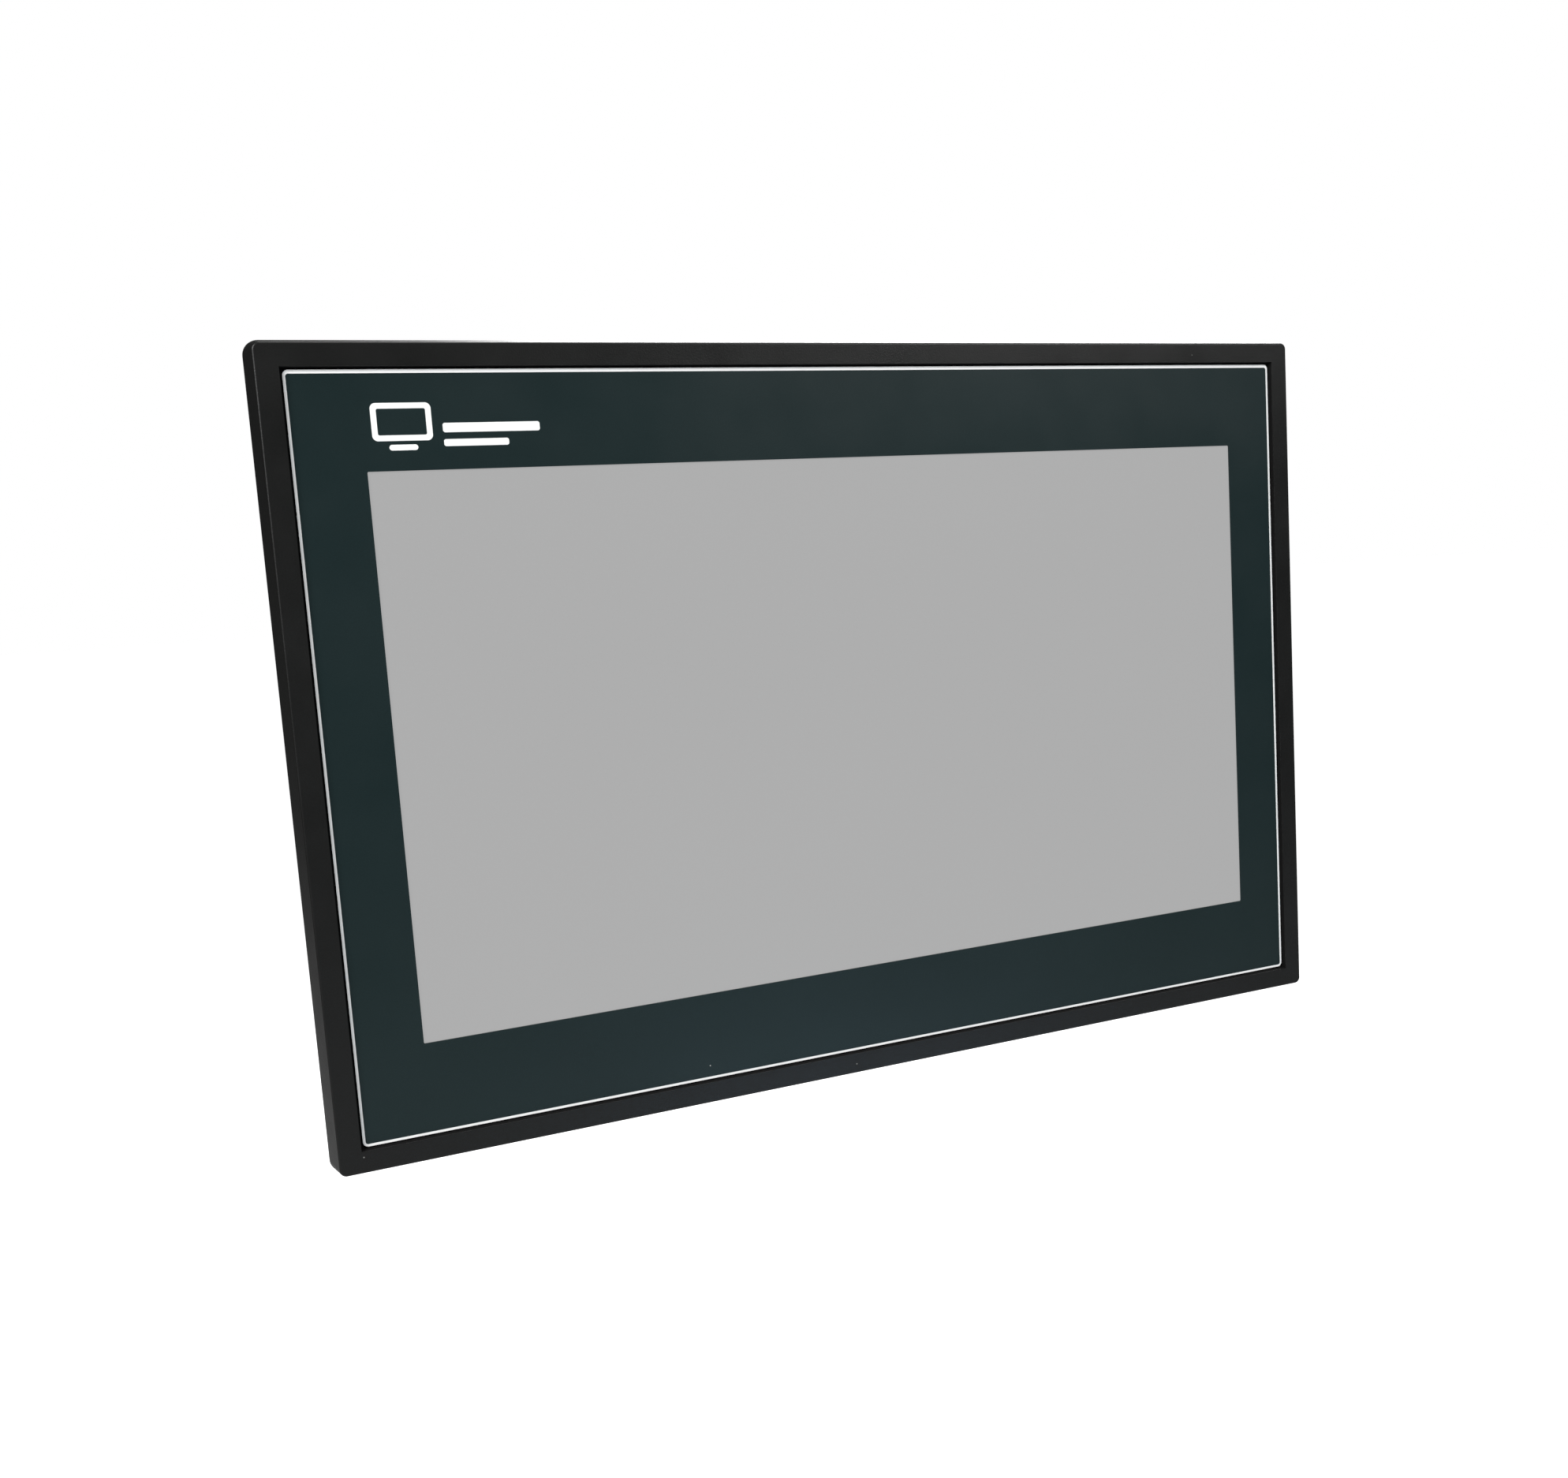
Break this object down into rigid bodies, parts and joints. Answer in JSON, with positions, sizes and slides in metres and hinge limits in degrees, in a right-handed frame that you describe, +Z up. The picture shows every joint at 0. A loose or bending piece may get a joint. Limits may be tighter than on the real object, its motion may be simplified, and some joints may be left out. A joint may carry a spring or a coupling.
{
  "type": "hmi touch panel",
  "caption": "Widescreen operator touch panel with a flush-mount bezel, rear housing with connectors along its underside, and hook-in screw clamps.",
  "frame": {"origin": "middle of the panel seat: the plane where the seal's rear face meets the front of the cabinet door, at the middle of the cut-out", "axes": "+X to the operator's right, +Z up, +Y away from the operator, into the cabinet; the screen faces -Y"},
  "size_m": [0.2666, 0.0464, 0.1882],
  "materials": {
    "bezel_plastic": "fine matte moulded texture",
    "overlay": "satin hard-coated film, dark teal print on its face",
    "display": "even mid grey, anti-glare satin",
    "foam": "closed-cell foam",
    "module_steel": "thin pressed stainless sheet",
    "cell_glass": "dark glass",
    "film_white": "pearly film",
    "guide_acrylic": "clear acrylic",
    "led_strip": "phosphor yellow on white strip",
    "galvanised": "galvanised sheet",
    "screw_steel": "bright zinc plate",
    "brass": "nickel-free brass",
    "board": "green solder mask",
    "chip": "moulded epoxy",
    "heatsink": "black anodised",
    "can_aluminium": "plain aluminium cans",
    "cell_steel": "nickel-plated steel",
    "connector_green": "green terminal plastic",
    "connector_metal": "tin-plated shells",
    "card_blue": "moulded card shell",
    "button_grey": "light grey plunger",
    "flex_amber": "amber polyimide ribbon",
    "seal_rubber": "black silicone rubber",
    "housing_plastic": "moulded spark texture",
    "label_stock": "blank silver label",
    "clamp_zinc": "zinc-plated steel"
  },
  "bodies": {
    "unit": {"front_bezel": "bezel_plastic", "overlay_film": "overlay", "touch_panel": "display", "touch_spacer": "foam", "lcd_frame": "module_steel", "lcd_cell": "cell_glass", "optical_films": "film_white", "light_guide": "guide_acrylic", "led_bar": "led_strip", "lcd_tray": "module_steel", "chassis_plate": "galvanised", "chassis_screws": "screw_steel", "board_spacers": "brass", "main_board": "board", "board_screws": "screw_steel", "processor": "chip", "heatsink": "heatsink", "memory_chips": "chip", "capacitors": "can_aluminium", "inductors": "chip", "buzzer": "chip", "battery_holder": "chip", "coin_cell": "cell_steel", "power_header": "connector_green", "serial_port_1": "connector_metal", "serial_port_2": "connector_metal", "jack_nuts": "connector_metal", "ethernet_port": "connector_metal", "usb_host_port": "connector_metal", "usb_client_port": "connector_metal", "card_socket": "connector_metal", "system_switch": "chip", "lcd_cable": "flex_amber", "touch_cable": "flex_amber", "panel_seal": "seal_rubber", "rear_housing": "housing_plastic", "housing_screws": "screw_steel", "rating_label": "label_stock"},
    "system_button": {"system_button": "button_grey"},
    "memory_card": {"memory_card": "card_blue"},
    "battery_cover": {"battery_cover": "housing_plastic"},
    "terminal_plug": {"terminal_plug": "connector_green"},
    "terminal_screw_1": {"terminal_screw_1": "screw_steel"},
    "terminal_screw_2": {"terminal_screw_2": "screw_steel"},
    "terminal_screw_3": {"terminal_screw_3": "screw_steel"},
    "terminal_cage_1": {"terminal_cage_1": "brass"},
    "terminal_cage_2": {"terminal_cage_2": "brass"},
    "terminal_cage_3": {"terminal_cage_3": "brass"},
    "clamp_1": {"clamp_1": "clamp_zinc"},
    "clamp_foot_1": {"clamp_foot_1": "seal_rubber"},
    "clamp_screw_1": {"clamp_screw_1": "screw_steel"},
    "clamp_2": {"clamp_2": "clamp_zinc"},
    "clamp_foot_2": {"clamp_foot_2": "seal_rubber"},
    "clamp_screw_2": {"clamp_screw_2": "screw_steel"},
    "clamp_3": {"clamp_3": "clamp_zinc"},
    "clamp_foot_3": {"clamp_foot_3": "seal_rubber"},
    "clamp_screw_3": {"clamp_screw_3": "screw_steel"},
    "clamp_4": {"clamp_4": "clamp_zinc"},
    "clamp_foot_4": {"clamp_foot_4": "seal_rubber"},
    "clamp_screw_4": {"clamp_screw_4": "screw_steel"}
  },
  "joints": [
    {"name": "system_button_press", "type": "slide", "parent": "unit", "child": "system_button", "axis": [0, 0, 1], "range_m": [0, 0.0008], "stiffness_N_per_m": 300, "springref_m": -0.0005},
    {"name": "memory_card_slide", "type": "slide", "parent": "unit", "child": "memory_card", "axis": [0, 0, -1], "range_m": [0, 0.034]},
    {"name": "battery_cover_hinge", "type": "hinge", "parent": "unit", "child": "battery_cover", "pos_m": [0.062, 0.0368, -0.0345], "axis": [-1, 0, 0], "range_deg": [0, 95]},
    {"name": "power_plug_pull", "type": "slide", "parent": "unit", "child": "terminal_plug", "axis": [0, 0, -1], "range_m": [0, 0.014]},
    {"name": "terminal_screw_1_turn", "type": "hinge", "parent": "terminal_plug", "child": "terminal_screw_1", "pos_m": [-0.08508, 0.0222, -0.0888], "axis": [0, -1, 0], "range_deg": [0, 1152]},
    {"name": "terminal_cage_1_rise", "type": "slide", "parent": "terminal_plug", "child": "terminal_cage_1", "axis": [0, 1, 0], "range_m": [0, 0.0016]},
    {"name": "terminal_screw_2_turn", "type": "hinge", "parent": "terminal_plug", "child": "terminal_screw_2", "pos_m": [-0.08, 0.0222, -0.0888], "axis": [0, -1, 0], "range_deg": [0, 1152]},
    {"name": "terminal_cage_2_rise", "type": "slide", "parent": "terminal_plug", "child": "terminal_cage_2", "axis": [0, 1, 0], "range_m": [0, 0.0016]},
    {"name": "terminal_screw_3_turn", "type": "hinge", "parent": "terminal_plug", "child": "terminal_screw_3", "pos_m": [-0.07492, 0.0222, -0.0888], "axis": [0, -1, 0], "range_deg": [0, 1152]},
    {"name": "terminal_cage_3_rise", "type": "slide", "parent": "terminal_plug", "child": "terminal_cage_3", "axis": [0, 1, 0], "range_m": [0, 0.0016]},
    {"name": "clamp_1_unhook", "type": "slide", "parent": "unit", "child": "clamp_1", "axis": [1, 0, 0], "range_m": [0, 0.005]},
    {"name": "clamp_foot_1_feed", "type": "slide", "parent": "clamp_1", "child": "clamp_foot_1", "axis": [0, -1, 0], "range_m": [0, 0.007]},
    {"name": "clamp_screw_1_turn", "type": "hinge", "parent": "clamp_foot_1", "child": "clamp_screw_1", "pos_m": [-0.108, 0.02, 0.0896], "axis": [0, -1, 0], "range_deg": [0, 3600]},
    {"name": "clamp_2_unhook", "type": "slide", "parent": "unit", "child": "clamp_2", "axis": [-1, 0, 0], "range_m": [0, 0.005]},
    {"name": "clamp_foot_2_feed", "type": "slide", "parent": "clamp_2", "child": "clamp_foot_2", "axis": [0, -1, 0], "range_m": [0, 0.007]},
    {"name": "clamp_screw_2_turn", "type": "hinge", "parent": "clamp_foot_2", "child": "clamp_screw_2", "pos_m": [0.108, 0.02, 0.0896], "axis": [0, -1, 0], "range_deg": [0, 3600]},
    {"name": "clamp_3_unhook", "type": "slide", "parent": "unit", "child": "clamp_3", "axis": [1, 0, 0], "range_m": [0, 0.005]},
    {"name": "clamp_foot_3_feed", "type": "slide", "parent": "clamp_3", "child": "clamp_foot_3", "axis": [0, -1, 0], "range_m": [0, 0.007]},
    {"name": "clamp_screw_3_turn", "type": "hinge", "parent": "clamp_foot_3", "child": "clamp_screw_3", "pos_m": [-0.108, 0.02, -0.0896], "axis": [0, -1, 0], "range_deg": [0, 3600]},
    {"name": "clamp_4_unhook", "type": "slide", "parent": "unit", "child": "clamp_4", "axis": [-1, 0, 0], "range_m": [0, 0.005]},
    {"name": "clamp_foot_4_feed", "type": "slide", "parent": "clamp_4", "child": "clamp_foot_4", "axis": [0, -1, 0], "range_m": [0, 0.007]},
    {"name": "clamp_screw_4_turn", "type": "hinge", "parent": "clamp_foot_4", "child": "clamp_screw_4", "pos_m": [0.108, 0.02, -0.0896], "axis": [0, -1, 0], "range_deg": [0, 3600]}
  ],
  "couplings": [
    {"joint": "terminal_screw_1_turn", "follows": "terminal_cage_1_rise", "rad_per_m": 12566},
    {"joint": "terminal_screw_2_turn", "follows": "terminal_cage_2_rise", "rad_per_m": 12566},
    {"joint": "terminal_screw_3_turn", "follows": "terminal_cage_3_rise", "rad_per_m": 12566},
    {"joint": "clamp_screw_1_turn", "follows": "clamp_foot_1_feed", "rad_per_m": 8976},
    {"joint": "clamp_screw_2_turn", "follows": "clamp_foot_2_feed", "rad_per_m": 8976},
    {"joint": "clamp_screw_3_turn", "follows": "clamp_foot_3_feed", "rad_per_m": 8976},
    {"joint": "clamp_screw_4_turn", "follows": "clamp_foot_4_feed", "rad_per_m": 8976}
  ]
}
